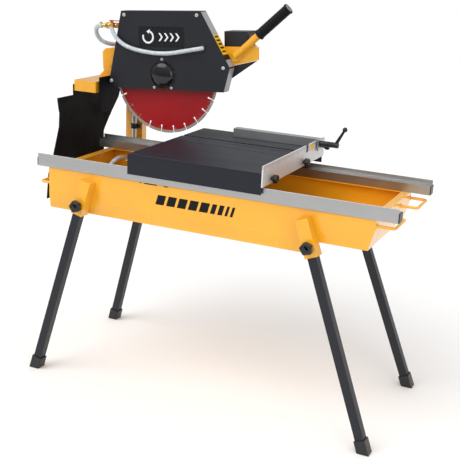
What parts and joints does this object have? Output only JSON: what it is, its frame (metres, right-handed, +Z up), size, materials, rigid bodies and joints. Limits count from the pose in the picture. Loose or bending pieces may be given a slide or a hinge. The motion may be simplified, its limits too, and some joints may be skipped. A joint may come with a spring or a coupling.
{
  "type": "wet masonry table saw",
  "caption": "Wet table saw for stone and tile: a tilting guarded diamond blade over a rolling table on rails, above a water tray on slide-out legs.",
  "frame": {"origin": "centre of the outline on the floor", "axes": "+X along the rails to the table's fence end, -Y to the operator's side, +Z up"},
  "size_m": [1.138, 0.6362, 1.1196],
  "materials": {
    "yellow_paint": "gloss powder coat",
    "rail_metal": "brushed",
    "black_plastic": "moulded, satin",
    "rubber": "matt sheet",
    "zinc": "zinc plated",
    "black_paint": "satin powder coat",
    "clear_hose": "soft milky PVC",
    "fence_metal": "brushed plate",
    "deck_black": "fine ribbed coating",
    "wheel_plastic": "moulded nylon",
    "motor_grey": "cast, satin",
    "red_plastic": "gloss",
    "green_plastic": "gloss",
    "brass": "machined",
    "red_steel": "painted blade core",
    "diamond_rim": "sintered, gritty",
    "shaft_steel": "turned"
  },
  "bodies": {
    "frame": {"water_tray": "yellow_paint", "rail_front": "rail_metal", "rail_rear": "rail_metal", "rail_end_caps": "black_plastic", "leg_sockets": "yellow_paint", "carry_handles": "yellow_paint", "column": "yellow_paint", "pivot_beam": "yellow_paint", "pivot_stand": "yellow_paint", "frame_bolts": "zinc", "splash_curtain": "rubber", "curtain_clamp": "zinc", "guide_rod": "rail_metal", "water_pump": "black_plastic", "supply_hose": "clear_hose"},
    "leg_fl_body": {"leg_fl": "black_paint", "foot_fl": "rubber"},
    "leg_fr_body": {"leg_fr": "black_paint", "foot_fr": "rubber"},
    "leg_rl_body": {"leg_rl": "black_paint", "foot_rl": "rubber"},
    "leg_rr_body": {"leg_rr": "black_paint", "foot_rr": "rubber"},
    "knob_fl": {"leg_knob_fl": "black_plastic"},
    "knob_fr": {"leg_knob_fr": "black_plastic"},
    "knob_rl": {"leg_knob_rl": "black_plastic"},
    "knob_rr": {"leg_knob_rr": "black_plastic"},
    "table": {"table_frame": "deck_black", "fence_plate": "fence_metal"},
    "fence_knob_front_body": {"fence_knob_front": "black_plastic"},
    "fence_knob_rear_body": {"fence_knob_rear": "black_plastic"},
    "stop_slider": {"side_stop": "fence_metal"},
    "lever": {"stop_lever": "black_plastic"},
    "lower_knob": {"stop_knob": "black_plastic"},
    "wheel_fl_body": {"wheel_fl": "wheel_plastic"},
    "wheel_fr_body": {"wheel_fr": "wheel_plastic"},
    "wheel_rl_body": {"wheel_rl": "wheel_plastic"},
    "wheel_rr_body": {"wheel_rr": "wheel_plastic"},
    "head": {"swing_arm": "yellow_paint", "guard_body": "black_paint", "guard_cover": "black_paint", "cover_screws": "zinc", "guard_flap": "rubber", "hub_cap": "black_plastic", "motor_housing": "motor_grey", "fan_cover": "black_plastic", "handle_grip": "rubber", "switch_box": "black_plastic", "valve_body": "brass", "spray_hose": "clear_hose", "upper_hose": "clear_hose"},
    "rotor": {"blade_core": "red_steel", "blade_rim": "diamond_rim", "blade_flange": "shaft_steel", "motor_shaft": "shaft_steel"},
    "stop_plunger": {"stop_button": "red_plastic"},
    "start_plunger": {"start_button": "green_plastic"},
    "tap_handle": {"valve_lever": "red_plastic"},
    "collar": {"stop_collar": "black_plastic"},
    "collar_knob": {"collar_screw": "black_plastic"}
  },
  "joints": [
    {"name": "leg_fl_slide", "type": "slide", "parent": "frame", "child": "leg_fl_body", "axis": [-0.2569, -0.0571, -0.9648], "range_m": [0, 0.1]},
    {"name": "leg_fr_slide", "type": "slide", "parent": "frame", "child": "leg_fr_body", "axis": [0.3568, -0.0552, -0.9325], "range_m": [0, 0.1]},
    {"name": "leg_rl_slide", "type": "slide", "parent": "frame", "child": "leg_rl_body", "axis": [-0.2569, 0.0571, -0.9648], "range_m": [0, 0.1]},
    {"name": "leg_rr_slide", "type": "slide", "parent": "frame", "child": "leg_rr_body", "axis": [0.3568, 0.0552, -0.9325], "range_m": [0, 0.1]},
    {"name": "leg_knob_fl_turn", "type": "hinge", "parent": "frame", "child": "knob_fl", "pos_m": [-0.36107, -0.27879, 0.53302], "axis": [0.0147, -0.9984, 0.0552], "range_deg": [0, 360]},
    {"name": "leg_knob_fr_turn", "type": "hinge", "parent": "frame", "child": "knob_fr", "pos_m": [0.34539, -0.27884, 0.53212], "axis": [-0.0197, -0.9985, 0.0515], "range_deg": [0, 360]},
    {"name": "leg_knob_rl_turn", "type": "hinge", "parent": "frame", "child": "knob_rl", "pos_m": [-0.36107, 0.14819, 0.53302], "axis": [0.0147, 0.9984, 0.0552], "range_deg": [0, 360]},
    {"name": "leg_knob_rr_turn", "type": "hinge", "parent": "frame", "child": "knob_rr", "pos_m": [0.34539, 0.14824, 0.53212], "axis": [-0.0197, 0.9985, 0.0515], "range_deg": [0, 360]},
    {"name": "table_roll", "type": "slide", "parent": "frame", "child": "table", "axis": [1, 0, 0], "range_m": [-0.33, 0.4]},
    {"name": "fence_knob_front_turn", "type": "hinge", "parent": "table", "child": "fence_knob_front_body", "pos_m": [0.206, -0.1993, 0.68], "axis": [1, 0, 0], "range_deg": [0, 360]},
    {"name": "fence_knob_rear_turn", "type": "hinge", "parent": "table", "child": "fence_knob_rear_body", "pos_m": [0.206, 0.0427, 0.68], "axis": [1, 0, 0], "range_deg": [0, 360]},
    {"name": "side_stop_slide", "type": "slide", "parent": "table", "child": "stop_slider", "axis": [0, 1, 0], "range_m": [-0.05, 0.04]},
    {"name": "stop_lever_turn", "type": "hinge", "parent": "stop_slider", "child": "lever", "pos_m": [0.216, 0.1597, 0.716], "axis": [1, 0, 0], "range_deg": [-70, 70]},
    {"name": "stop_knob_turn", "type": "hinge", "parent": "stop_slider", "child": "lower_knob", "pos_m": [0.216, 0.1737, 0.704], "axis": [1, 0, 0], "range_deg": [0, 360]},
    {"name": "wheel_fl_spin", "type": "hinge", "parent": "table", "child": "wheel_fl_body", "pos_m": [-0.167, -0.2323, 0.665], "axis": [0, 1, 0], "range_deg": [-1400, 1700]},
    {"name": "wheel_fr_spin", "type": "hinge", "parent": "table", "child": "wheel_fr_body", "pos_m": [0.152, -0.2323, 0.665], "axis": [0, 1, 0], "range_deg": [-1400, 1700]},
    {"name": "wheel_rl_spin", "type": "hinge", "parent": "table", "child": "wheel_rl_body", "pos_m": [-0.167, 0.1017, 0.665], "axis": [0, 1, 0], "range_deg": [-1400, 1700]},
    {"name": "wheel_rr_spin", "type": "hinge", "parent": "table", "child": "wheel_rr_body", "pos_m": [0.152, 0.1017, 0.665], "axis": [0, 1, 0], "range_deg": [-1400, 1700]},
    {"name": "head_tilt", "type": "hinge", "parent": "frame", "child": "head", "pos_m": [-0.48197, 0.1547, 0.905], "axis": [0, -1, 0], "range_deg": [-4, 20]},
    {"name": "blade_spin", "type": "hinge", "parent": "head", "child": "rotor", "pos_m": [-0.275, 0.0767, 0.878], "axis": [0, 1, 0], "continuous": true},
    {"name": "stop_button_press", "type": "slide", "parent": "head", "child": "stop_plunger", "axis": [-0.9979, 0, -0.0645], "range_m": [0, 0.004], "stiffness_N_per_m": 900, "springref_m": -0.001},
    {"name": "start_button_press", "type": "slide", "parent": "head", "child": "start_plunger", "axis": [-0.9979, 0, -0.0645], "range_m": [0, 0.003], "stiffness_N_per_m": 900, "springref_m": -0.001},
    {"name": "valve_turn", "type": "hinge", "parent": "head", "child": "tap_handle", "pos_m": [-0.46527, 0.0647, 1.03104], "axis": [-0.0645, 0, 0.9979], "range_deg": [0, 90]},
    {"name": "collar_slide", "type": "slide", "parent": "frame", "child": "collar", "axis": [0, 0, 1], "range_m": [-0.03, 0.1]},
    {"name": "collar_screw_turn", "type": "hinge", "parent": "collar", "child": "collar_knob", "pos_m": [-0.481, 0.2647, 0.669], "axis": [1, 0, 0], "range_deg": [0, 360]}
  ],
  "couplings": [
    {"joint": "wheel_fl_spin", "follows": "table_roll", "rad_per_m": 71.429},
    {"joint": "wheel_fr_spin", "follows": "table_roll", "rad_per_m": 71.429},
    {"joint": "wheel_rl_spin", "follows": "table_roll", "rad_per_m": 71.429},
    {"joint": "wheel_rr_spin", "follows": "table_roll", "rad_per_m": 71.429}
  ]
}
